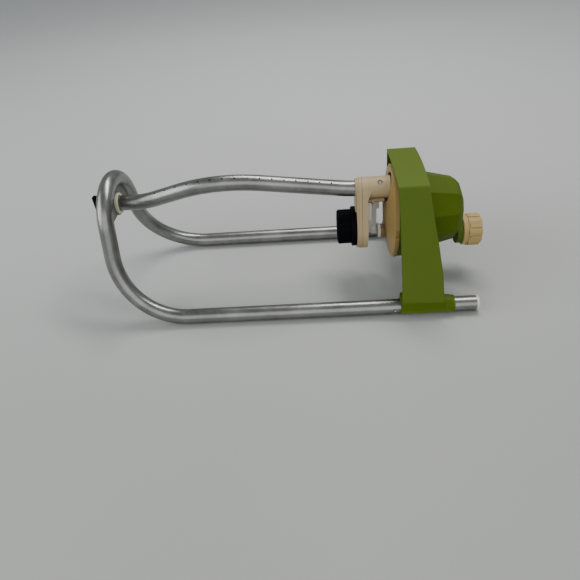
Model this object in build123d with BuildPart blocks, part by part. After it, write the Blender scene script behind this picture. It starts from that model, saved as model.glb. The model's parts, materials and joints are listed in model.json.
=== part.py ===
"""Oscillating lawn sprinkler: bent tube stand, spray tube, rocker arm with dial, water motor.

Millimetres, +Z up, stands on Z = 0. +X runs along the spray tube to the hose end, -Y is the near side.
Rest pose: the lever is at the middle of its sweep, the arm hangs straight down, the dial is centred.
"""

import os
from math import acos, atan, cos, degrees, pi, radians, sin, sqrt, tan

from build123d import *

os.makedirs("parts", exist_ok=True)

# ---------------------------------------------------------------- driving dimensions
TUBE_R = 7.94  # 5/8 inch tube
STAND_WALL = 1.2
SPRAY_WALL = 1.0
LEG_Y = 72.0  # leg centre line
LEG_Z = TUBE_R
LEG_END = 184.3
HOOP_X = -179.5
SCREW_X = 136.0  # leg screws, through the saddles' inner sides
SCREW_Z = 11.8
HOOP_APEX = 223.1  # where the two straight sides of the hoop would meet
HOOP_TOP_R = 42.8
BEND_R = 69.0
AXIS_Z = 106.5  # spray tube axis
PLUG_END = -203.0
TILT = 28.0  # the spray tube's bow leans this much to the near side

MOTOR_Z = 78.0  # centre of the cover and the motor drum
OUT_Z = 54.6  # output shaft
TOP_ARBOR_Z = 77.1
INLET_Z = 49.5
COVER_R = 48.0
COVER_APEX = 98.3  # top of the cover's dome
COVER_BACK = 108.0  # back of its rim, on the pan's edge
CUP_R = 14.6  # cup in the cover round the end of the arm's sleeve

MODULE = 0.75
PRESSURE = 25.0
PINION_T = 12
WHEEL_T = 48

STUD_R = 21.0  # link stud on the drive lever, from the spray tube axis
STUD_ANGLE = 60.0  # from straight down to the far side
CRANK_R = 13.16
CRANK_ANGLE = 106.3  # crank pin, from straight up to the far side
LINK_PIN_R = 2.6
LINK_EYE_R = 4.7  # the open joint of the linkage: the eye is larger than its pin

DIAL_Z = 62.0
DIAL_ECC = 7.0  # the dial's pin stands above its axis at rest


def at_x(x, y=0.0, z=0.0):
    """A sketch plane across X: its local x is Y and its local y is Z."""
    return Plane(origin=(x, y, z), x_dir=(0, 1, 0), z_dir=(1, 0, 0))


def side_plane(y):
    """A sketch plane across Y: its local x is X and its local y is Z. It extrudes to +Y."""
    return Plane(origin=(0, y, 0), x_dir=(-1, 0, 0), z_dir=(0, 1, 0))


def save(part, name):
    part.label = name
    export_step(part, f"parts/{name}.step")


def rounded_path(points, radii):
    """Straight runs between the points, joined by arcs of the given radii."""
    pts = [Vector(*p) for p in points]
    start = pts[0]
    for before, corner, after, radius in zip(pts, pts[1:], pts[2:], radii):
        d_in = (corner - before).normalized()
        d_out = (after - corner).normalized()
        half = radians(d_in.get_angle(d_out)) / 2
        reach = radius * tan(half)
        enter, leave = corner - d_in * reach, corner + d_out * reach
        inward = (d_out - d_in).normalized()
        middle = corner + inward * (radius / cos(half) - radius)
        Line(start, enter)
        ThreePointArc(enter, middle, leave)
        start = leave
    Line(start, pts[-1])


def ring(x0, x1, outer, inner, y=0.0, z=0.0):
    """A plain ring or disc along X, made in its own builder."""
    with BuildPart() as made:
        with BuildSketch(at_x(x0, y, z)):
            Circle(outer)
            if inner:
                Circle(inner, mode=Mode.SUBTRACT)
        extrude(amount=x1 - x0)
    return made.part


# ---------------------------------------------------------------- bent tube stand
STAND_PATH = [
    (LEG_END, -LEG_Y, LEG_Z),
    (HOOP_X, -LEG_Y, LEG_Z),
    (HOOP_X, 0, HOOP_APEX),
    (HOOP_X, LEG_Y, LEG_Z),
    (LEG_END, LEG_Y, LEG_Z),
]
STAND_RADII = [BEND_R, HOOP_TOP_R, BEND_R]


def tube_along(points, radii, outer, inner):
    with BuildPart() as made:
        with BuildLine() as route:
            rounded_path(points, radii)
        heading = (Vector(*points[1]) - Vector(*points[0])).normalized()
        with BuildSketch(Plane(origin=points[0], z_dir=heading)):
            Circle(outer)
            if inner:
                Circle(inner, mode=Mode.SUBTRACT)
        sweep(path=route.line)
    return made.part


with BuildPart() as base_frame:
    add(tube_along(STAND_PATH, STAND_RADII, TUBE_R, TUBE_R - STAND_WALL))
    # punched dimples in front of the tower's saddles, and a screw hole in each leg's inner side
    for y in (-1, 1):
        with Locations((102.5, y * (LEG_Y + TUBE_R + 0.9), LEG_Z + 1.5)):
            Sphere(2.0, mode=Mode.SUBTRACT)
        with Locations((SCREW_X, y * (LEG_Y - TUBE_R), SCREW_Z)):
            Cylinder(1.5, 8, rotation=(90, 0, 0), mode=Mode.SUBTRACT)
save(base_frame.part, "base_frame")

for side, y in (("near", -LEG_Y), ("far", LEG_Y)):
    with BuildPart() as leg_cap:
        with BuildSketch(at_x(LEG_END, y, LEG_Z)):
            Circle(TUBE_R - 0.05)
        extrude(amount=3.2)
        fillet(leg_cap.edges().group_by(Axis.X)[-1], 1.4)
        with BuildSketch(at_x(LEG_END - 11, y, LEG_Z)):
            Circle(TUBE_R - STAND_WALL - 0.04)
        extrude(amount=11)
    save(leg_cap.part, f"leg_cap_{side}")

# ---------------------------------------------------------------- hoop bracket and bushing
HOOP_INNER_R = HOOP_TOP_R - TUBE_R
HOOP_CENTRE_Z = HOOP_APEX - HOOP_TOP_R / sin(radians(18.48))
with BuildPart() as hoop_bracket:
    with BuildSketch(at_x(HOOP_X - 1.5)):
        with Locations((0, HOOP_CENTRE_Z)):
            Circle(HOOP_INNER_R + 1.6)
        with Locations((0, 98.5)):
            Rectangle(120, 200, align=(Align.CENTER, Align.MAX), mode=Mode.SUBTRACT)
    extrude(amount=3.0)
    # stiffening lip along the lower edge, and a collar round the bushing
    with BuildSketch(at_x(HOOP_X - 4.0)):
        with Locations((0, 98.5)):
            Rectangle(62, 2.2, align=(Align.CENTER, Align.MIN))
    extrude(amount=5.9)
    with BuildSketch(at_x(HOOP_X - 4.5, 0, AXIS_Z)):
        Circle(12.2)
    extrude(amount=6.5)
    with BuildSketch(at_x(HOOP_X - 10, 0, AXIS_Z)):
        Circle(9.9)
    extrude(amount=20, mode=Mode.SUBTRACT)
    add(
        tube_along(STAND_PATH, STAND_RADII, TUBE_R + 0.03, 0),
        mode=Mode.SUBTRACT,
    )
save(hoop_bracket.part, "hoop_bracket")

with BuildPart() as hoop_bushing:
    add(ring(HOOP_X - 5.5, HOOP_X + 2.0, 9.88, TUBE_R + 0.08, 0, AXIS_Z))
    add(ring(HOOP_X + 2.0, HOOP_X + 4.6, 10.8, TUBE_R + 0.08, 0, AXIS_Z))
    chamfer(hoop_bushing.faces().sort_by(Axis.X)[-1].edges(), 0.5)
save(hoop_bushing.part, "hoop_bushing")

# ---------------------------------------------------------------- tower housing with the motor drum
WALL = 3.0
FRONT = [(104.8, 133.0), (105.2, 128.0), (107.4, 100.0), (108.8, 50.0), (109.3, 25.0), (109.3, 7.4)]
REAR = [(150.6, 7.4), (150.3, 17.6), (149.8, 28.0), (148.4, 46.0)]
SADDLE_END = 162.3
SADDLE_R = 10.3  # round sleeve of each saddle, about the leg's centre line
REAR_TOP = [(144.3, 71.0), (139.2, 96.0), (134.4, 124.0), (133.8, 128.0), (134.2, 133.0)]
DRUM = [(125.0, 42.6), (168.0, 32.4), (172.6, 27.2), (176.4, 17.5)]
NECK_END = 180.8  # the inlet stem's collar starts here
DUCT_Z = 57.0  # water duct between neck and drum


def arch_face(inset):
    """The arch across X: crowned roof, leaning sides, open below."""
    t = inset
    with BuildSketch() as made:
        with BuildLine():
            Polyline(
                (-42.3 + 0.8 * t, 128.0 - t),
                (-81.8 + 1.07 * t, 19.6),
                (-82.3 + t, 7.0),
                (82.3 - t, 7.0),
                (81.8 - 1.07 * t, 19.6),
                (42.3 - 0.8 * t, 128.0 - t),
            )
            ThreePointArc((42.3 - 0.8 * t, 128.0 - t), (0, 131.2 - t), (-42.3 + 0.8 * t, 128.0 - t))
        make_face()
        fillet(made.vertices().group_by(Axis.Y)[-1], 3.5)
    return made.sketch


def drum_loft(inset):
    with BuildPart() as made:
        for x, r in DRUM:
            last = x == DRUM[-1][0]
            with BuildSketch(at_x(x - (inset if last else 0), 0, MOTOR_Z)):
                RegularPolygon(r - inset, 10, rotation=90)
        loft(ruled=True)
    return made.part


with BuildPart() as tower_housing:
    # arch band with its two saddles
    with BuildSketch(at_x(90)):
        add(arch_face(0))
    extrude(amount=80)
    with BuildSketch(at_x(89)):
        add(arch_face(WALL))
        with Locations((0, 17.6)):
            Rectangle(200, 60, align=(Align.CENTER, Align.MAX), mode=Mode.SUBTRACT)
    extrude(amount=90, mode=Mode.SUBTRACT)
    with BuildSketch(at_x(89)):
        with Locations((0, 21)):
            Rectangle(123, 60, align=(Align.CENTER, Align.MAX))
    extrude(amount=90, mode=Mode.SUBTRACT)
    # web behind the motor cover
    with BuildSketch(at_x(125.0)):
        add(arch_face(WALL - 1.0))
        with Locations((0, 24.5)):
            Rectangle(200, 60, align=(Align.CENTER, Align.MAX), mode=Mode.SUBTRACT)
    extrude(amount=3.0)
    with BuildSketch(side_plane(-100)):
        with BuildLine():
            Polyline(
                *[(-x, z) for x, z in FRONT + REAR + REAR_TOP],
                close=True,
            )
        make_face()
    extrude(amount=200, mode=Mode.INTERSECT)
    # round sleeves of the saddles, stepped down at the tail and open along the ground
    for y in (-LEG_Y, LEG_Y):
        with BuildSketch(at_x(FRONT[-1][0] - 0.5, y, LEG_Z)):
            Circle(SADDLE_R)
            with Locations((0, 6.2 - LEG_Z)):
                Rectangle(40, 20, align=(Align.CENTER, Align.MAX), mode=Mode.SUBTRACT)
        extrude(amount=158.4 - FRONT[-1][0] + 0.5)
        with BuildSketch(at_x(158.4, y, LEG_Z)):
            Circle(SADDLE_R - 0.7)
            with Locations((0, 6.2 - LEG_Z)):
                Rectangle(40, 20, align=(Align.CENTER, Align.MAX), mode=Mode.SUBTRACT)
        extrude(amount=SADDLE_END - 158.4)
    # round pan that takes the cover, then the faceted drum
    with BuildSketch(at_x(COVER_BACK + 0.1, 0, MOTOR_Z)):
        Circle(47.4)
    extrude(amount=19.9)
    add(drum_loft(0))
    with BuildSketch(at_x(175.2, 0, INLET_Z)):
        Circle(14.0)
    extrude(amount=NECK_END - 175.2)
    with BuildSketch(at_x(165.0, 0, DUCT_Z)):
        Circle(6.2)
    extrude(amount=12.0)
    with BuildSketch(at_x(104, 0, MOTOR_Z)):
        Circle(44.4)
    extrude(amount=21.0, mode=Mode.SUBTRACT)
    add(drum_loft(3.0), mode=Mode.SUBTRACT)
    with BuildSketch(at_x(177.2, 0, INLET_Z)):
        Circle(10.0)
    extrude(amount=10.0, mode=Mode.SUBTRACT)
    # water duct from the neck into the drum
    with BuildSketch(at_x(160.0, 0, DUCT_Z)):
        Circle(4.0)
    extrude(amount=17.3, mode=Mode.SUBTRACT)
    # channels for the legs, open underneath, and the holes for their screws
    for y in (-LEG_Y, LEG_Y):
        with BuildSketch(at_x(100, y, LEG_Z)):
            Circle(TUBE_R + 0.06)
            Rectangle(2 * TUBE_R + 0.12, 20, align=(Align.CENTER, Align.MAX))
        extrude(amount=80, mode=Mode.SUBTRACT)
    for y in (-1, 1):
        with Locations((SCREW_X, y * 64.0, SCREW_Z)):
            Cylinder(1.78, 12, rotation=(90, 0, 0), mode=Mode.SUBTRACT)
save(tower_housing.part, "tower_housing")

with BuildPart() as leg_screws:
    # one from the inner side of each saddle into its leg
    for y in (-1, 1):
        with Locations((SCREW_X, y * 60.6, SCREW_Z)):
            Cylinder(3.2, 1.8, rotation=(90, 0, 0))
        with Locations((SCREW_X, y * 64.2, SCREW_Z)):
            Cylinder(1.48, 5.6, rotation=(90, 0, 0))
        with Locations((SCREW_X, y * 59.5, SCREW_Z)):
            Box(3.6, 1.2, 0.8, mode=Mode.SUBTRACT)
            Box(0.8, 1.2, 3.6, mode=Mode.SUBTRACT)
save(leg_screws.part, "leg_screws")

# ---------------------------------------------------------------- front cover, seal, outlet
def dome(apex, rim_x, rim_r):
    """Shallow cap of a sphere facing the hoop: its top at apex, its edge circle at rim_x."""
    height = rim_x - apex
    ball = (rim_r * rim_r + height * height) / (2 * height)
    with BuildPart() as made:
        with BuildSketch(at_x(apex - 1, 0, MOTOR_Z)):
            Circle(rim_r)
        extrude(amount=COVER_BACK - apex + 1)
        with Locations((apex + ball, 0, MOTOR_Z)):
            Sphere(ball, mode=Mode.INTERSECT)
    return made.part


with BuildPart() as cover_hollow:
    # space behind the dome, round the cup for the arm's sleeve
    add(dome(COVER_APEX + 2.8, 107.0, 42.2))
    with BuildSketch(at_x(95.0, 0, AXIS_Z)):
        Circle(16.6)
    extrude(amount=20.0, mode=Mode.SUBTRACT)

with BuildPart() as front_cover:
    # domed face, rim step and rim, then the plug that enters the pan with its seal groove
    add(dome(COVER_APEX, 104.6, 45.2))
    add(ring(104.6, 105.6, 46.4, 40.0, 0, MOTOR_Z))
    add(ring(105.4, COVER_BACK, COVER_R, 40.0, 0, MOTOR_Z))
    add(ring(COVER_BACK, 112.9, 44.3, 42.2, 0, MOTOR_Z))
    add(ring(109.5, 111.7, 46.0, 43.3, 0, MOTOR_Z), mode=Mode.SUBTRACT)
    add(cover_hollow.part, mode=Mode.SUBTRACT)
    # floor of the cup behind the rim plane
    with BuildSketch(at_x(106.6, 0, AXIS_Z)):
        Circle(16.6)
        with Locations((0, MOTOR_Z - AXIS_Z)):
            Circle(44.3, mode=Mode.INTERSECT)
    extrude(amount=2.1)
    # bosses for the output shaft and the fixed arbor
    with BuildSketch(at_x(95.7, 0, OUT_Z)):
        Circle(6.5)
    extrude(amount=13.0)
    with BuildSketch(at_x(99.0, 0, TOP_ARBOR_Z)):
        Circle(4.0)
    extrude(amount=9.7)
    with BuildSketch(at_x(80, 0, AXIS_Z)):
        Circle(CUP_R)
    extrude(amount=26.6, mode=Mode.SUBTRACT)
    with BuildSketch(at_x(90, 0, AXIS_Z)):
        Circle(7.4)
    extrude(amount=30, mode=Mode.SUBTRACT)
    with BuildSketch(at_x(80, 0, OUT_Z)):
        Circle(2.07)
    extrude(amount=40, mode=Mode.SUBTRACT)
    with BuildSketch(at_x(105.5, 0, OUT_Z)):
        Circle(4.5)
    extrude(amount=10, mode=Mode.SUBTRACT)
    with BuildSketch(at_x(105.7, 0, TOP_ARBOR_Z)):
        Circle(1.5)
    extrude(amount=10, mode=Mode.SUBTRACT)
    # key slots in the rim for turning the cover home
    for y in (-1, 1):
        with BuildSketch(at_x(104.4, y * COVER_R, MOTOR_Z + 1)):
            Rectangle(6.4, 9.0)
        extrude(amount=COVER_BACK - 104.4 + 0.1, mode=Mode.SUBTRACT)
save(front_cover.part, "front_cover")

with BuildPart() as cover_seal:
    with BuildSketch(at_x(109.55, 0, MOTOR_Z)):
        Circle(44.38)
        Circle(43.32, mode=Mode.SUBTRACT)
    extrude(amount=2.1)
    fillet(cover_seal.edges(), 0.4)
save(cover_seal.part, "cover_seal")

with BuildPart() as shaft_seal:
    add(ring(105.6, 107.9, 4.48, 2.08, 0, OUT_Z))
save(shaft_seal.part, "shaft_seal")

with BuildPart() as outlet_spigot:
    add(ring(103.3, 106.55, 11.2, 5.0, 0, AXIS_Z))
    add(ring(106.55, 111.0, 7.36, 5.0, 0, AXIS_Z))
    add(ring(84.0, 103.3, TUBE_R - SPRAY_WALL - 0.08, 5.0, 0, AXIS_Z))
    with BuildSketch(at_x(88.0, 0, AXIS_Z)):
        Circle(7.5)
        Circle(5.8, mode=Mode.SUBTRACT)
    extrude(amount=2.0, mode=Mode.SUBTRACT)
    chamfer(outlet_spigot.edges().group_by(Axis.X)[0], 0.5)
save(outlet_spigot.part, "outlet_spigot")

with BuildPart() as spigot_seal:
    add(ring(88.05, 89.95, TUBE_R - SPRAY_WALL - 0.03, 5.82, 0, AXIS_Z))
save(spigot_seal.part, "spigot_seal")

# ---------------------------------------------------------------- inlet: stem, nut, washer, strainer
with BuildPart() as inlet_stem:
    add(ring(NECK_END - 3.3, NECK_END, 9.95, 7.6, 0, INLET_Z))
    add(ring(NECK_END, NECK_END + 5.1, 16.0, 7.6, 0, INLET_Z))
    add(ring(NECK_END + 5.1, NECK_END + 8.4, 10.2, 7.6, 0, INLET_Z))
    add(ring(NECK_END + 8.4, NECK_END + 10.0, 12.6, 7.6, 0, INLET_Z))
    chamfer(inlet_stem.faces().filter_by(Plane.YZ).sort_by(SortBy.AREA)[-1].outer_wire().edges(), 0.8)
save(inlet_stem.part, "inlet_stem")

with BuildPart() as coupling_nut:
    with BuildSketch(at_x(NECK_END + 5.4, 0, INLET_Z)):
        RegularPolygon(17.4, 8, rotation=22.5)
        Circle(16.9, mode=Mode.INTERSECT)
    extrude(amount=13.8)
    # grip ribs on the eight corners
    with BuildSketch(at_x(NECK_END + 6.6, 0, INLET_Z)):
        with PolarLocations(15.9, 8, start_angle=0):
            Rectangle(2.2, 3.4)
    extrude(amount=11.0)
    with BuildSketch(at_x(NECK_END + 5.1, 0, INLET_Z)):
        Circle(10.5)
    extrude(amount=4.0, mode=Mode.SUBTRACT)
    with BuildSketch(at_x(NECK_END + 8.1, 0, INLET_Z)):
        Circle(13.3)
    extrude(amount=20, mode=Mode.SUBTRACT)
    # undercut behind the thread, round the stem's flange and the washer
    with BuildSketch(at_x(NECK_END + 8.1, 0, INLET_Z)):
        Circle(13.9)
    extrude(amount=4.7, mode=Mode.SUBTRACT)
    chamfer(coupling_nut.faces().sort_by(Axis.X)[-1].outer_wire().edges(), 1.2)
save(coupling_nut.part, "coupling_nut")

with BuildPart() as hose_washer:
    add(ring(NECK_END + 10.0, NECK_END + 12.5, 13.0, 8.0, 0, INLET_Z))
save(hose_washer.part, "hose_washer")

with BuildPart() as inlet_strainer:
    with BuildSketch(at_x(NECK_END + 10.0, 0, INLET_Z)):
        Circle(7.95)
        with PolarLocations(5.3, 10):
            Circle(1.0, mode=Mode.SUBTRACT)
        with PolarLocations(2.5, 5):
            Circle(0.9, mode=Mode.SUBTRACT)
    extrude(amount=1.2)
save(inlet_strainer.part, "inlet_strainer")


# ---------------------------------------------------------------- gear train
def involute(angle):
    return tan(angle) - angle


def gear_outline(teeth, phase):
    """Corner points of a spur gear with involute flanks, a tooth centred at the phase angle."""
    pitch_r = MODULE * teeth / 2
    base_r = pitch_r * cos(radians(PRESSURE))
    tip_r = pitch_r + 0.95 * MODULE
    root_r = pitch_r - 1.2 * MODULE
    half_pitch = pi / (2 * teeth) - 0.09 / pitch_r  # backlash taken off each tooth
    low = max(base_r, root_r + 0.05)
    flank = []
    for i in range(4):
        r = low + (tip_r - low) * i / 3
        turn = half_pitch + involute(radians(PRESSURE)) - involute(acos(min(1.0, base_r / r)))
        flank.append((r, turn))
    points = []
    for k in range(teeth):
        middle = radians(phase) + 2 * pi * k / teeth
        foot = flank[0][1] + min(0.02, 0.35 * (pi / teeth - flank[0][1]))
        side = [(root_r, foot)] + flank
        for r, turn in side:
            points.append((r * cos(middle - turn), r * sin(middle - turn)))
        for r, turn in reversed(side):
            points.append((r * cos(middle + turn), r * sin(middle + turn)))
    return points


def gear(x0, x1, teeth, phase, z):
    with BuildPart() as made:
        with BuildSketch(at_x(x0, 0, z)):
            with BuildLine():
                Polyline(*gear_outline(teeth, phase), close=True)
            make_face()
        extrude(amount=x1 - x0)
    return made.part


HALF_TOOTH = 360 / WHEEL_T / 2
ARBOR_R = 1.5
SHAFT_R = 2.0


def geared(wheel_x, pinion_x, z, wheel_phase, pinion_phase, bore):
    """A wheel and a pinion moulded together, on one arbor."""
    with BuildPart() as made:
        add(gear(*wheel_x, WHEEL_T, wheel_phase, z))
        add(gear(*pinion_x, PINION_T, pinion_phase, z))
        with BuildSketch(at_x(wheel_x[0] - 20, 0, z)):
            Circle(bore)
        extrude(amount=60, mode=Mode.SUBTRACT)
    return made.part


# a pinion under its wheel has a tooth at +90, and the wheel a space at -90
upper_idler = geared((114.2, 117.8), (108.9, 114.4), TOP_ARBOR_Z, -90 + HALF_TOOTH, -90, ARBOR_R + 0.05)
save(upper_idler, "upper_idler")
lower_idler = geared((119.0, 122.6), (113.4, 119.2), OUT_Z, 90 + HALF_TOOTH, 90, SHAFT_R + 0.05)
save(lower_idler, "lower_idler")

with BuildPart() as output_gear:
    add(gear(109.0, 113.0, WHEEL_T, 90 + HALF_TOOTH, OUT_Z))
    with BuildSketch(at_x(100, 0, OUT_Z)):
        Circle(SHAFT_R)
    extrude(amount=30, mode=Mode.SUBTRACT)
save(output_gear.part, "output_gear")

with BuildPart() as output_shaft:
    with BuildSketch(at_x(92.6, 0, OUT_Z)):
        Circle(SHAFT_R)
    extrude(amount=31.4)
save(output_shaft.part, "output_shaft")

with BuildPart() as arbor_pin:
    with BuildSketch(at_x(105.75, 0, TOP_ARBOR_Z)):
        Circle(ARBOR_R - 0.01)
    extrude(amount=32.75)
save(arbor_pin.part, "arbor_pin")

with BuildPart() as turbine:
    add(gear(118.2, 124.8, PINION_T, -90, TOP_ARBOR_Z))
    with BuildSketch(at_x(124.8, 0, TOP_ARBOR_Z)):
        Circle(5.5)
    extrude(amount=9.2)
    with BuildSketch(at_x(128.6, 0, TOP_ARBOR_Z)):
        Circle(13.0)
    extrude(amount=1.6)
    with BuildSketch(at_x(125.4, 0, TOP_ARBOR_Z)):
        with PolarLocations(13.5, 12):
            Rectangle(13.0, 1.1, rotation=18)
    extrude(amount=8.0)
    with BuildSketch(at_x(118, 0, TOP_ARBOR_Z)):
        Circle(ARBOR_R + 0.05)
    extrude(amount=20, mode=Mode.SUBTRACT)
save(turbine.part, "turbine")

with BuildPart() as jet_plate:
    with BuildSketch(at_x(137.0, 0, MOTOR_Z)):
        Circle(33.3)
    extrude(amount=2.6)
    with BuildSketch(at_x(134.6, 0, TOP_ARBOR_Z)):
        Circle(3.2)
    extrude(amount=2.6)
    with BuildSketch(at_x(134.4, 0, TOP_ARBOR_Z)):
        Circle(ARBOR_R)
    extrude(amount=4.1, mode=Mode.SUBTRACT)
    with BuildSketch(at_x(134.4, 0, TOP_ARBOR_Z)):
        with PolarLocations(17.0, 3, start_angle=-90):
            Circle(2.2)
    extrude(amount=8, mode=Mode.SUBTRACT)
save(jet_plate.part, "jet_plate")

# ---------------------------------------------------------------- crank, link, drive lever
PIN_Y = CRANK_R * sin(radians(CRANK_ANGLE))
PIN_Z = OUT_Z + CRANK_R * cos(radians(CRANK_ANGLE))
STUD_Y = STUD_R * sin(radians(STUD_ANGLE))
STUD_Z = AXIS_Z - STUD_R * cos(radians(STUD_ANGLE))
LINK_ANGLE = degrees(acos((STUD_Z - PIN_Z) / sqrt((STUD_Y - PIN_Y) ** 2 + (STUD_Z - PIN_Z) ** 2)))

with BuildPart() as crank_arm:
    with BuildSketch(at_x(92.7)):
        with BuildLine():
            Line((0, OUT_Z), (PIN_Y, PIN_Z))
        trace(line_width=9.0)
        with Locations((0, OUT_Z)):
            Circle(7.2)
        with Locations((PIN_Y, PIN_Z)):
            Circle(5.0)
    extrude(amount=2.7)
    with BuildSketch(at_x(86.2, PIN_Y, PIN_Z)):
        Circle(LINK_PIN_R)
    extrude(amount=6.6)
    with BuildSketch(at_x(92, 0, OUT_Z)):
        Circle(SHAFT_R)
    extrude(amount=10, mode=Mode.SUBTRACT)
save(crank_arm.part, "crank_arm")

with BuildPart() as link:
    # a flanged bar between two eyes
    with BuildSketch(at_x(86.6)):
        with BuildLine():
            Line((PIN_Y, PIN_Z), (STUD_Y, STUD_Z))
        trace(line_width=10.0)
        with Locations((PIN_Y, PIN_Z)):
            Circle(LINK_EYE_R + 2.2)
        with Locations((STUD_Y, STUD_Z)):
            Circle(5.3)
    extrude(amount=5.8)
    for x in (86.6 - 1, 90.6):
        middle = Plane(
            origin=(x, (PIN_Y + STUD_Y) / 2, (PIN_Z + STUD_Z) / 2), x_dir=(0, 1, 0), z_dir=(1, 0, 0)
        )
        with BuildSketch(middle):
            RectangleRounded(6.2, 27.0, 2.0, rotation=-LINK_ANGLE)
        extrude(amount=2.8, mode=Mode.SUBTRACT)
    # stiffening rib on the cover's side, clear of the crank
    rib = Plane(
        origin=(92.0, (PIN_Y + 2 * STUD_Y) / 3, (PIN_Z + 2 * STUD_Z) / 3), x_dir=(0, 1, 0), z_dir=(1, 0, 0)
    )
    with BuildSketch(rib):
        RectangleRounded(7.4, 15.0, 1.5, rotation=-LINK_ANGLE)
    extrude(amount=3.2)
    with BuildSketch(at_x(80)):
        with Locations((PIN_Y, PIN_Z)):
            Circle(LINK_EYE_R)
        with Locations((STUD_Y, STUD_Z)):
            Circle(2.05)
    extrude(amount=20, mode=Mode.SUBTRACT)
save(link.part, "link")


def polar(radius, angle):
    """A point about the spray tube axis: the angle runs from straight down to the far side."""
    return (radius * sin(radians(angle)), AXIS_Z - radius * cos(radians(angle)))


with BuildPart() as drive_lever:
    with BuildSketch(at_x(81.0)):
        # hanging tongue
        with BuildLine():
            Polyline(
                polar(14.0, -38),
                polar(33.0, -23),
                (-10.5, 70.0),
                (-7.0, 56.0),
                (7.0, 56.0),
                (11.0, 70.0),
                polar(30.0, 40),
                polar(14.0, 62),
                close=True,
            )
        make_face()
        # ear for the link's stud
        with BuildLine():
            Line(polar(19, 40), (STUD_Y, STUD_Z))
        trace(line_width=11.0)
        with Locations((STUD_Y, STUD_Z)):
            Circle(5.5)
        with Locations((0, AXIS_Z)):
            Circle(15.3, mode=Mode.SUBTRACT)
        # slot for the dial's pin, along the lever
        with Locations((0, 67.0)):
            SlotOverall(11.8, 6.3, rotation=90, mode=Mode.SUBTRACT)
    extrude(amount=3.4)
    fillet(drive_lever.edges().filter_by(Axis.X).group_by(Axis.Z)[0], 3.0)
    with BuildSketch(at_x(80, STUD_Y, STUD_Z)):
        Circle(1.6)
    extrude(amount=10, mode=Mode.SUBTRACT)
save(drive_lever.part, "drive_lever")

with BuildPart() as link_stud:
    with BuildSketch(at_x(81.0, STUD_Y, STUD_Z)):
        Circle(1.6)
    extrude(amount=3.4)
    with BuildSketch(at_x(84.4, STUD_Y, STUD_Z)):
        Circle(2.0)
    extrude(amount=10.0)
    with BuildSketch(at_x(84.4, STUD_Y, STUD_Z)):
        Circle(3.4)
    extrude(amount=1.9)
    with BuildSketch(at_x(92.8, STUD_Y, STUD_Z)):
        Circle(3)
        Circle(1.5, mode=Mode.SUBTRACT)
    extrude(amount=0.9, mode=Mode.SUBTRACT)
save(link_stud.part, "link_stud")

with BuildPart() as stud_clip:
    # retaining clip snapped in the stud's groove, open on one side
    with BuildSketch(at_x(92.85, STUD_Y, STUD_Z)):
        Circle(3.8)
        Circle(1.52, mode=Mode.SUBTRACT)
        with Locations((3.0, 0)):
            Rectangle(5.0, 2.4, mode=Mode.SUBTRACT)
    extrude(amount=0.8)
save(stud_clip.part, "stud_clip")


# ---------------------------------------------------------------- rocker arm on the spray tube
LEAN_Y, LEAN_Z = -sin(radians(TILT)), cos(radians(TILT))


def on_bow(x, rise):
    return (x, rise * LEAN_Y, AXIS_Z + rise * LEAN_Z)


SPRAY_PATH = [on_bow(101.0, 0), on_bow(64.5, 0), on_bow(-68.5, 29.5), on_bow(-148.5, 0), on_bow(-187.0, 0)]
SPRAY_RADII = [100.0, 150.0, 60.0]


def arm_outline(grow, sleeve=10.9, dish=23.4):
    """Sleeve circle and dish circle with straight flanks between them."""
    r1, r2 = sleeve + grow, dish + grow
    gap = AXIS_Z - DIAL_Z
    lean = (r2 - r1) / gap
    up, out = lean, sqrt(1 - lean * lean)
    Polyline(
        (-r1 * out, AXIS_Z + r1 * up),
        (-r2 * out, DIAL_Z + r2 * up),
        (r2 * out, DIAL_Z + r2 * up),
        (r1 * out, AXIS_Z + r1 * up),
        close=True,
    )


def arm_slab(x0, x1, grow):
    with BuildPart() as made:
        with BuildSketch(at_x(x0)):
            with BuildLine():
                arm_outline(grow)
            make_face()
            with Locations((0, AXIS_Z)):
                Circle(10.9 + grow)
            with Locations((0, DIAL_Z)):
                Circle(23.4 + grow)
        extrude(amount=x1 - x0)
    return made.part


with BuildPart() as sleeve_wedge:
    # wide root of the sleeve, cut off along a hollow curve from low at the plate to high at the screw
    add(arm_slab(80.0, 97.0, 0.2))
    with BuildSketch(side_plane(-20)):
        with BuildLine():
            Polyline((-80.6, 98.0), (-80.0, 98.0), (-80.0, 20.0), (-104.0, 20.0), (-104.0, 122.0), (-96.6, 118.9))
            ThreePointArc((-96.6, 118.9), (-85.4, 108.8), (-80.6, 98.0))
        make_face()
    extrude(amount=60.0, both=True, mode=Mode.SUBTRACT)

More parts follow.
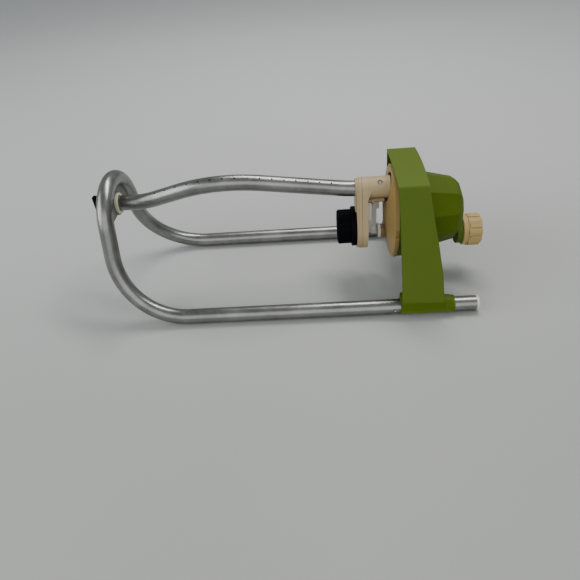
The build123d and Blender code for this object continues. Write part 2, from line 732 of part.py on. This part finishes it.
with BuildPart() as rocker_arm:
    add(arm_slab(69.6, 72.2, -0.3))
    add(arm_slab(72.0, 74.6, 0.3))
    add(arm_slab(74.4, 75.2, -0.5))
    add(arm_slab(75.0, 80.6, 0.3))
    # thin front flange behind the spray tube's entry
    with BuildSketch(at_x(68.3)):
        with Locations((0, AXIS_Z)):
            Circle(10.2)
        with Locations((0, 84.5)):
            Rectangle(19, 22, align=(Align.CENTER, Align.MIN))
    extrude(amount=1.4)
    # sleeve, its end rim, and the wedge that stiffens it
    with BuildSketch(at_x(80.6, 0, AXIS_Z)):
        Circle(11.1)
    extrude(amount=22.4)
    with BuildSketch(at_x(99.6, 0, AXIS_Z)):
        Circle(11.5)
    extrude(amount=3.4)
    add(sleeve_wedge.part)
    # ledge under the sleeve with a lip that keeps the drive lever in place
    with BuildSketch(at_x(80.6, 0, AXIS_Z)):
        Circle(14.9)
        with Locations((0, -7.6)):
            Rectangle(60, 60, align=(Align.CENTER, Align.MIN), mode=Mode.SUBTRACT)
    extrude(amount=16.3)
    with BuildSketch(at_x(84.8, 0, AXIS_Z)):
        Circle(16.8)
        with Locations((0, -7.6)):
            Rectangle(60, 60, align=(Align.CENTER, Align.MIN), mode=Mode.SUBTRACT)
        with Locations((9.0, 0)):
            Rectangle(30, 60, align=(Align.MIN, Align.CENTER), mode=Mode.SUBTRACT)
    extrude(amount=1.4)
    # spray tube bore, dial seat and bore
    with BuildSketch(at_x(76, 0, AXIS_Z)):
        Circle(TUBE_R + 0.02)
    extrude(amount=40, mode=Mode.SUBTRACT)
    add(tube_along(SPRAY_PATH, SPRAY_RADII, TUBE_R + 0.02, 0), mode=Mode.SUBTRACT)
    with BuildSketch(at_x(60, 0, DIAL_Z)):
        Circle(9.86)
    extrude(amount=40, mode=Mode.SUBTRACT)
    # sleeve screw
    screw_plane = Plane(
        origin=(92.8, 0, AXIS_Z), x_dir=(1, 0, 0), z_dir=(0, -sin(radians(35)), cos(radians(35)))
    )
    with BuildSketch(screw_plane.offset(5)):
        Circle(1.4)
    extrude(amount=10, mode=Mode.SUBTRACT)
    with BuildSketch(screw_plane.offset(9.0)):
        Circle(2.6)
    extrude(amount=6, mode=Mode.SUBTRACT)
save(rocker_arm.part, "rocker_arm")

with BuildPart() as sleeve_screw:
    with BuildSketch(screw_plane.offset(7.2)):
        Circle(1.38)
    extrude(amount=1.8)
    with BuildSketch(screw_plane.offset(9.0)):
        Circle(1.6)
    extrude(amount=1.2)
    with BuildSketch(screw_plane.offset(9.6)):
        Rectangle(2.2, 0.5)
        Rectangle(0.5, 2.2)
    extrude(amount=1.0, mode=Mode.SUBTRACT)
    fillet(sleeve_screw.faces().sort_by(SortBy.AREA)[-1].edges().filter_by(GeomType.CIRCLE)[:1], 0.3)
save(sleeve_screw.part, "sleeve_screw")

# ---------------------------------------------------------------- spray tube
def bow_rise(x):
    """Height of the tube's axis over its ends, and its slope, at a station along X."""
    pts = [(64.5, 0.0), (-68.5, 29.5), (-148.5, 0.0)]
    slopes = [0.0, 29.5 / 133.0, -29.5 / 80.0, 0.0]
    angles = [degrees(atan(s)) for s in slopes]
    heights = {}
    for (px, ph), r, a, b in zip(pts, SPRAY_RADII, angles, angles[1:]):
        turn = radians(abs(b - a)) / 2
        reach = r * tan(turn)
        x_in = px + reach * cos(radians(a))
        x_out = px - reach * cos(radians(b))
        h_in = ph - reach * sin(radians(a))
        heights[px] = (x_in, x_out, h_in, r, a, b)
    for i, (px, ph) in enumerate(pts):
        x_in, x_out, h_in, r, a, b = heights[px]
        if x_out <= x <= x_in:
            sign = 1 if b > a else -1
            # centre of the arc lies to the side it turns towards
            cx = x_in + sign * r * sin(radians(a))
            ch = h_in + sign * r * cos(radians(a))
            dh = sqrt(r * r - (x - cx) ** 2)
            h = ch - sign * dh
            slope = -sign * (x - cx) / dh
            return h, slope
        if x > x_in:
            return ph + slopes[i] * (px - x), slopes[i]
    return 0.0, 0.0


HOLES = 16
HOLE_PITCH = 11.65
FIRST_HOLE = -131.8
HOLE_R = 0.85

with BuildPart() as spray_tube:
    add(tube_along(SPRAY_PATH, SPRAY_RADII, TUBE_R, TUBE_R - SPRAY_WALL))
    # one row of nozzle holes along the crest of the bow, fanning out along the tube
    for i in range(HOLES):
        x = FIRST_HOLE + i * HOLE_PITCH
        rise, slope = bow_rise(x)
        norm = sqrt(1 + slope * slope)
        away = Vector(slope / norm, LEAN_Y / norm, LEAN_Z / norm)
        with BuildSketch(Plane(origin=on_bow(x, rise), x_dir=(0, LEAN_Z, -LEAN_Y), z_dir=away)):
            Circle(HOLE_R)
        extrude(amount=12, mode=Mode.SUBTRACT)
    with BuildSketch(screw_plane.offset(4)):
        Circle(1.4)
    extrude(amount=8, mode=Mode.SUBTRACT)
save(spray_tube.part, "spray_tube")

with BuildPart() as end_plug:
    # shank inside the tube, neck, and a thumb flange with two wings
    with BuildSketch(at_x(-188.0, 0, AXIS_Z)):
        Circle(TUBE_R - SPRAY_WALL - 0.06)
    extrude(amount=12.0)
    with BuildSketch(at_x(-190.0, 0, AXIS_Z)):
        Circle(8.6)
    extrude(amount=2.8)
    with BuildSketch(side_plane(-1.6)):
        with BuildLine():
            Polyline(
                (190.0, AXIS_Z - 8.0),
                (190.0, AXIS_Z + 8.0),
                (-PLUG_END, AXIS_Z + 10.4),
                (-PLUG_END, AXIS_Z - 10.4),
                close=True,
            )
        make_face()
    extrude(amount=3.2)
    fillet(end_plug.edges().filter_by(Axis.Y).group_by(Axis.X)[0], 2.2)
    with BuildSketch(at_x(-196.0, 0, AXIS_Z)):
        Circle(4.6)
    extrude(amount=6.5)
save(end_plug.part, "end_plug")

# ---------------------------------------------------------------- dial
with BuildPart() as dial_knob:
    with BuildSketch(at_x(64.2, 0, DIAL_Z)):
        Circle(21.0)
    extrude(amount=5.1)
    fillet(dial_knob.edges().group_by(Axis.X)[0], 0.8)
    with BuildSketch(at_x(49.4, 0, DIAL_Z)):
        Circle(17.4)
    extrude(amount=14.9)
    chamfer(dial_knob.edges().group_by(Axis.X)[0], 0.8)
    with BuildSketch(at_x(50.4, 0, DIAL_Z)):
        with PolarLocations(17.2, 24):
            Circle(1.0)
    extrude(amount=13.9)
    # thumb recess across the face leaves a pointer bar
    with BuildSketch(at_x(49.0, 0, DIAL_Z)):
        Circle(14.4)
        Rectangle(5.0, 40.0, mode=Mode.SUBTRACT)
    extrude(amount=6.0, mode=Mode.SUBTRACT)
    with BuildSketch(at_x(57.0, 0, DIAL_Z)):
        Circle(3.5)
    extrude(amount=20, mode=Mode.SUBTRACT)
save(dial_knob.part, "dial_knob")

with BuildPart() as dial_cam:
    with BuildSketch(at_x(57.0, 0, DIAL_Z)):
        Circle(3.5)
    extrude(amount=12.8)
    with BuildSketch(at_x(69.7, 0, DIAL_Z)):
        Circle(9.8)
    extrude(amount=10.7)
    with BuildSketch(at_x(80.0, 0, DIAL_Z + DIAL_ECC)):
        Circle(2.5)
    extrude(amount=4.2)
save(dial_cam.part, "dial_cam")
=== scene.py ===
"""Looks of the oscillating sprinkler: a material for every CAD node, the hose thread, floor, light, camera."""
import json
import math

import bmesh
import bpy
from mathutils import Matrix, Vector


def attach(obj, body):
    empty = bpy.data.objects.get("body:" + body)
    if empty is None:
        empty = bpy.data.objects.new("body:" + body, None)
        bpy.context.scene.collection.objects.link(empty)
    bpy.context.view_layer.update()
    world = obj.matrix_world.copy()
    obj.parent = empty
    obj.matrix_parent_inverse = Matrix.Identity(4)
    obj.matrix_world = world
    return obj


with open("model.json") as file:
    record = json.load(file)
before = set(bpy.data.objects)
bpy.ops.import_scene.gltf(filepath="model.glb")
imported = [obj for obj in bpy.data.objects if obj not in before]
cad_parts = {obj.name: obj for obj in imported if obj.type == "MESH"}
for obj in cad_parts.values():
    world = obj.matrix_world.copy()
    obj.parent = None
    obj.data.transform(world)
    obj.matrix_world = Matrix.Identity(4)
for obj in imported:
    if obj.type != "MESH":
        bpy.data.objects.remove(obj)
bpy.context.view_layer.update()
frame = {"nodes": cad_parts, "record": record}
nodes = frame["nodes"]

MM = 0.001


# ---------------------------------------------------------------- node helpers
class Shader:
    """A material under construction: a Principled shader and short calls that add nodes to it."""

    def __init__(self, name, roughness, metallic=0.0, specular=0.5):
        self.material = bpy.data.materials.new(name)
        self.material.use_nodes = True
        self.tree = self.material.node_tree
        self.main = self.tree.nodes["Principled BSDF"]
        self.main.inputs["Roughness"].default_value = roughness
        self.main.inputs["Metallic"].default_value = metallic
        self.main.inputs["Specular IOR Level"].default_value = specular
        self.coords = self.tree.nodes.new("ShaderNodeTexCoord").outputs["Object"]

    def add(self, kind, inputs=None, **settings):
        node = self.tree.nodes.new(kind)
        for key, value in settings.items():
            setattr(node, key, value)
        for key, value in (inputs or {}).items():
            if isinstance(value, bpy.types.NodeSocket):
                self.tree.links.new(value, node.inputs[key])
            else:
                node.inputs[key].default_value = value
        return node

    def stretched(self, scale):
        return self.add("ShaderNodeMapping", {"Vector": self.coords, "Scale": scale}).outputs["Vector"]

    def noise(self, scale, detail=4.0, rough=0.55, vector=None, distortion=0.0):
        return self.add(
            "ShaderNodeTexNoise",
            {
                "Vector": vector or self.coords,
                "Scale": scale,
                "Detail": detail,
                "Roughness": rough,
                "Distortion": distortion,
            },
        ).outputs["Fac"]

    def ramp(self, fac, stops):
        node = self.add("ShaderNodeValToRGB", {"Fac": fac})
        points = node.color_ramp.elements
        while len(points) < len(stops):
            points.new(0.5)
        for point, (place, shade) in zip(points, stops):
            point.position = place
            point.color = (*shade, 1.0) if isinstance(shade, tuple) else (shade, shade, shade, 1.0)
        return node.outputs["Color"]

    def mix(self, fac, a, b, blend="MIX"):
        node = self.add("ShaderNodeMix", data_type="RGBA", blend_type=blend)
        for socket, value in ((node.inputs[0], fac), (node.inputs[6], a), (node.inputs[7], b)):
            if isinstance(value, bpy.types.NodeSocket):
                self.tree.links.new(value, socket)
            elif isinstance(value, tuple):
                socket.default_value = (*value, 1.0)
            else:
                socket.default_value = value
        return node.outputs[2]

    def math(self, operation, a, b):
        return self.add("ShaderNodeMath", {0: a, 1: b}, operation=operation).outputs[0]

    def scaled(self, value, low, high):
        node = self.add("ShaderNodeMapRange", {"Value": value, "To Min": low, "To Max": high})
        return node.outputs["Result"]

    def connect(self, socket, output):
        self.tree.links.new(output, self.main.inputs[socket])

    def bump(self, height, distance, strength=1.0, normal=None):
        inputs = {"Height": height, "Distance": distance, "Strength": strength}
        if normal:
            inputs["Normal"] = normal
        return self.add("ShaderNodeBump", inputs).outputs["Normal"]

    def edges(self):
        """Bright where the surface is a sharp outer edge: partly worn corners, partly a painted highlight
        where a rounded edge would catch light.
        """
        point = self.add("ShaderNodeNewGeometry").outputs["Pointiness"]
        return self.ramp(point, [(0.52, 0.0), (0.6, 1.0)])

    def occlusion_shade(self, distance):
        """Painted shade: dark in corners and crevices, from an ambient occlusion mask."""
        ao = self.add("ShaderNodeAmbientOcclusion", {"Distance": distance}, samples=8)
        return ao.outputs["AO"]


def tube_material(name, base, dark, streak_scale):
    """Dulled aluminium tube: long drawing lines, grey oxide blotches, small dents and scuffs."""
    s = Shader(name, 0.34, metallic=1.0)
    lines = s.noise(1.0, 3.0, 0.6, s.stretched(streak_scale))
    blotch = s.noise(38.0, 6.0, 0.65)
    fine = s.noise(420.0, 4.0, 0.6)
    pits = s.add("ShaderNodeTexVoronoi", {"Vector": s.coords, "Scale": 260.0}).outputs["Distance"]
    pit_mask = s.ramp(pits, [(0.05, 1.0), (0.16, 0.0)])
    patchy = s.ramp(s.noise(70.0, 3.0), [(0.48, 0.0), (0.66, 1.0)])
    pitting = s.math("MULTIPLY", pit_mask, patchy)
    colour = s.mix(s.ramp(blotch, [(0.35, 0.0), (0.7, 1.0)]), dark, base)
    colour = s.mix(s.scaled(lines, 0.0, 0.35), colour, tuple(c * 0.72 for c in base))
    colour = s.mix(s.math("MULTIPLY", pitting, 0.55), colour, tuple(c * 0.45 for c in base))
    s.connect("Base Color", colour)
    rough = s.scaled(s.mix(0.5, blotch, fine), 0.16, 0.46)
    s.connect("Roughness", rough)
    small = s.bump(fine, 0.00006, 0.5)
    long_dents = s.bump(s.noise(22.0, 2.0, 0.4), 0.0009, 0.35, small)
    s.connect("Normal", s.bump(pitting, -0.00012, 0.6, long_dents))
    return s.material


def plastic(name, base, variation, roughness, grain=0.00003, specular=0.45, edge_wear_and_highlight=0.25, corner_shade_strength=0.35,
            corner_shade_colour=(0.05, 0.045, 0.03)):
    """Moulded plastic: faint colour drift, satin grain, flow marks, paler edges (partly wear, partly painted
    highlight) and painted shade in corners.
    """
    s = Shader(name, roughness, specular=specular)
    drift = s.noise(26.0, 5.0, 0.6, distortion=0.4)
    speck = s.noise(900.0, 2.0, 0.5)
    flow = s.noise(1.0, 3.0, 0.5, s.stretched((60.0, 18.0, 18.0)))
    other = tuple(max(0.0, c + v) for c, v in zip(base, variation))
    colour = s.mix(s.ramp(drift, [(0.3, 0.0), (0.72, 1.0)]), base, other)
    colour = s.mix(s.scaled(flow, 0.0, 0.16), colour, tuple(c * 0.8 for c in base))
    # paler edges: partly wear, partly painted highlight on the sharp edges
    worn_and_highlit_edge_colour = tuple(min(1.0, c * 1.35 + 0.03) for c in base)
    colour = s.mix(s.math("MULTIPLY", s.edges(), edge_wear_and_highlight), colour, worn_and_highlit_edge_colour)
    # painted shade: corners and crevices are darkened toward a dark tint of the base colour, made patchy by
    # noise
    corner_shade = s.ramp(s.occlusion_shade(0.006), [(0.25, 1.0), (0.8, 0.0)])
    patchy_corner_shade = s.math("MULTIPLY", corner_shade, s.scaled(s.noise(120.0, 5.0, 0.7), 0.2, 1.0))
    colour = s.mix(s.math("MULTIPLY", patchy_corner_shade, corner_shade_strength), colour, corner_shade_colour)
    s.connect("Base Color", colour)
    scuff = s.ramp(s.noise(1.0, 6.0, 0.7, s.stretched((140.0, 420.0, 160.0))), [(0.55, 0.0), (0.75, 1.0)])
    s.connect("Roughness", s.scaled(s.mix(0.35, drift, scuff), roughness - 0.08, roughness + 0.16))
    soft = s.bump(speck, grain, 0.6)
    s.connect("Normal", s.bump(s.noise(55.0, 2.0, 0.4), 0.00035, 0.2, soft))
    return s.material


def bright_metal(name, base, roughness):
    """Turned or pressed steel with fine circular lines and a few specks of tarnish."""
    s = Shader(name, roughness, metallic=1.0)
    rings = s.add(
        "ShaderNodeTexWave",
        {"Vector": s.coords, "Scale": 900.0, "Distortion": 2.0, "Detail": 2.0},
        wave_type="RINGS",
        rings_direction="X",
    ).outputs["Fac"]
    tarnish = s.ramp(s.noise(320.0, 5.0, 0.7), [(0.52, 0.0), (0.7, 1.0)])
    colour = s.mix(s.math("MULTIPLY", tarnish, 0.5), base, tuple(c * 0.35 for c in base))
    s.connect("Base Color", colour)
    s.connect("Roughness", s.scaled(tarnish, roughness, roughness + 0.25))
    s.connect("Normal", s.bump(rings, 0.00002, 0.4))
    return s.material


def rubber(name, base):
    s = Shader(name, 0.7, specular=0.3)
    dust = s.ramp(s.noise(180.0, 6.0, 0.7), [(0.45, 0.0), (0.8, 1.0)])
    s.connect("Base Color", s.mix(s.math("MULTIPLY", dust, 0.35), base, (0.09, 0.085, 0.075)))
    s.connect("Roughness", s.scaled(dust, 0.62, 0.85))
    s.connect("Normal", s.bump(s.noise(700.0, 3.0), 0.00003, 0.5))
    return s.material


# ---------------------------------------------------------------- materials
DRAWN_ALONG_X = (18.0, 520.0, 520.0)  # stretches the drawing lines along the tubes
MATERIALS = {
    "stand_tube": tube_material("dull_aluminium", (0.32, 0.32, 0.308), (0.19, 0.19, 0.182), DRAWN_ALONG_X),
    "spray_tube": tube_material("spray_aluminium", (0.33, 0.33, 0.32), (0.20, 0.20, 0.193), DRAWN_ALONG_X),
    "zinc_plate": plastic("bracket_grey", (0.115, 0.112, 0.098), (0.03, 0.03, 0.028), 0.5, edge_wear_and_highlight=0.3),
    "steel": bright_metal("bright_steel", (0.58, 0.575, 0.56), 0.22),
    "green_plastic": plastic("green_moulding", (0.062, 0.103, 0.0008), (0.012, 0.010, 0.001), 0.56,
                             specular=0.14, edge_wear_and_highlight=0.3, corner_shade_strength=0.3, corner_shade_colour=(0.026, 0.035, 0.002)),
    "tan_plastic": plastic("tan_moulding", (0.37, 0.285, 0.158), (0.05, 0.04, 0.03), 0.5, specular=0.25,
                           edge_wear_and_highlight=0.3, corner_shade_colour=(0.12, 0.07, 0.03)),
    "cream_plastic": plastic("cream_moulding", (0.62, 0.61, 0.45), (0.04, 0.04, 0.03), 0.42, edge_wear_and_highlight=0.2),
    "black_plastic": plastic("black_moulding", (0.0012, 0.0014, 0.0026), (0.001, 0.001, 0.001), 0.6,
                             specular=0.05, edge_wear_and_highlight=0.03, corner_shade_strength=0.15, corner_shade_colour=(0.010, 0.009, 0.008)),
    "white_nylon": plastic("white_nylon", (0.68, 0.67, 0.63), (0.04, 0.03, 0.0), 0.36, edge_wear_and_highlight=0.1,
                           corner_shade_colour=(0.16, 0.14, 0.11)),
    "grey_plastic": plastic("grey_moulding", (0.10, 0.098, 0.098), (0.03, 0.03, 0.03), 0.42, edge_wear_and_highlight=0.2),
    "black_rubber": rubber("black_rubber", (0.014, 0.014, 0.015)),
}
COVER = plastic("cover_moulding", (0.245, 0.163, 0.052), (0.05, 0.035, 0.012), 0.48, specular=0.3, edge_wear_and_highlight=0.35,
                corner_shade_strength=0.45, corner_shade_colour=(0.06, 0.035, 0.012))
NUT = plastic("nut_moulding", (0.42, 0.295, 0.115), (0.05, 0.04, 0.02), 0.48, specular=0.22, edge_wear_and_highlight=0.3,
              corner_shade_colour=(0.13, 0.07, 0.02))
OWN_MATERIAL = {"front_cover": COVER, "coupling_nut": NUT, "inlet_stem": NUT}


def dress_nodes():
    for part in frame["record"]["subparts"]:
        name = part["node"]
        material = OWN_MATERIAL.get(name, MATERIALS[part["material_slot"]])
        slots = nodes[name].material_slots
        if not slots:
            nodes[name].data.materials.append(material)
        for slot in slots:
            slot.material = material


dress_nodes()


# ---------------------------------------------------------------- added details
def make_hose_thread():
    """The coarse female hose thread inside the nut: a helical ridge, tapered away at both ends."""
    axis_z, start, end = 49.5, 194.3, 198.9  # millimetres, in the row frame
    pitch, root, crest = 2.2, 13.36, 12.55  # the root is let 0.06 mm into the nut's bore
    root_half, crest_half = 0.8, 0.28
    ends_per_length = 9.0  # the ridge is full height after a ninth of its length
    steps_per_turn = 96
    turns = (end - start) / pitch
    steps = int(turns * steps_per_turn)
    made = bmesh.new()
    rings = []
    for step in range(steps + 1):
        along = step / steps
        angle = math.tau * turns * along
        x = start + (end - start) * along
        height = (root - crest) * min(1.0, along * ends_per_length, (1.0 - along) * ends_per_length)
        top = root - height
        section = ((-root_half, root), (-crest_half, top), (crest_half, top), (root_half, root))
        rings.append([
            made.verts.new(((x + dx) * MM, r * math.cos(angle) * MM, (axis_z + r * math.sin(angle)) * MM))
            for dx, r in section
        ])
    for a, b in zip(rings, rings[1:]):
        for i in range(4):
            made.faces.new((a[i], a[(i + 1) % 4], b[(i + 1) % 4], b[i]))
    made.faces.new(rings[0])
    made.faces.new(list(reversed(rings[-1])))
    bmesh.ops.recalc_face_normals(made, faces=made.faces)
    mesh = bpy.data.meshes.new("hose_thread")
    made.to_mesh(mesh)
    made.free()
    thread = bpy.data.objects.new("hose_thread", mesh)
    bpy.context.scene.collection.objects.link(thread)
    mesh.materials.append(NUT)
    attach(thread, "coupling_nut")


make_hose_thread()


# ---------------------------------------------------------------- floor, light, camera
def make_floor():
    mesh = bpy.data.meshes.new("floor")
    made = bmesh.new()
    bmesh.ops.create_grid(made, x_segments=8, y_segments=8, size=6.0)
    made.to_mesh(mesh)
    made.free()
    floor = bpy.data.objects.new("floor", mesh)
    bpy.context.scene.collection.objects.link(floor)
    s = Shader("floor_paper", 0.6, specular=0.35)
    # painted light: the paper is painted lighter away from the object, in place of light falling on the far
    # floor
    depth = s.add("ShaderNodeSeparateXYZ", {"Vector": s.coords}).outputs["Y"]
    painted_far_light = s.ramp(s.math("ADD", s.math("MULTIPLY", depth, 0.5), 0.2), [(0.1, 0.0), (0.75, 1.0)])
    near_tone = s.mix(s.noise(3.0, 3.0, 0.5), (0.345, 0.355, 0.342), (0.385, 0.395, 0.382))
    s.connect("Base Color", s.mix(painted_far_light, near_tone, (0.66, 0.67, 0.665)))
    s.connect("Normal", s.bump(s.noise(60.0, 4.0), 0.0004, 0.15))
    mesh.materials.append(s.material)


def make_light(name, place, aim, size, power, colour=(1, 1, 1)):
    data = bpy.data.lights.new(name, "AREA")
    data.shape = "RECTANGLE"
    data.size, data.size_y = size
    data.energy = power
    data.color = colour
    light = bpy.data.objects.new(name, data)
    light.location = place
    light.rotation_euler = (Vector(aim) - Vector(place)).to_track_quat("-Z", "Y").to_euler()
    bpy.context.scene.collection.objects.link(light)


def make_world():
    world = bpy.data.worlds.new("soft_room")
    world.use_nodes = True
    back = world.node_tree.nodes["Background"]
    back.inputs["Color"].default_value = (0.86, 0.9, 0.92, 1.0)
    back.inputs["Strength"].default_value = 0.40
    bpy.context.scene.world = world


def make_camera():
    data = bpy.data.cameras.new("camera")
    data.sensor_width = 36.0
    data.lens = 32.03
    data.clip_start = 0.02
    camera = bpy.data.objects.new("camera", data)
    pitch, yaw, roll = math.radians(90.0 - 39.25), math.radians(4.58), math.radians(-5.79)
    turn = Matrix.Rotation(yaw, 4, "Z") @ Matrix.Rotation(pitch, 4, "X") @ Matrix.Rotation(roll, 4, "Z")
    camera.matrix_world = Matrix.Translation((0.02995, -0.4710, 0.3638)) @ turn
    bpy.context.scene.collection.objects.link(camera)
    bpy.context.scene.camera = camera


make_floor()
make_world()
make_light("overhead", (0.30, 0.42, 1.2), (0.0, 0.0, 0.0), (1.1, 0.2), 12.0, (1.0, 0.99, 0.97))
make_light("front_fill", (0.1, -1.6, 0.8), (0.0, 0.0, 0.05), (2.6, 1.4), 14.0, (1.0, 1.0, 0.98))
make_light("window_side", (-1.2, -0.4, 0.7), (0.0, 0.0, 0.05), (1.2, 1.0), 12.0, (0.97, 0.99, 1.0))
make_camera()
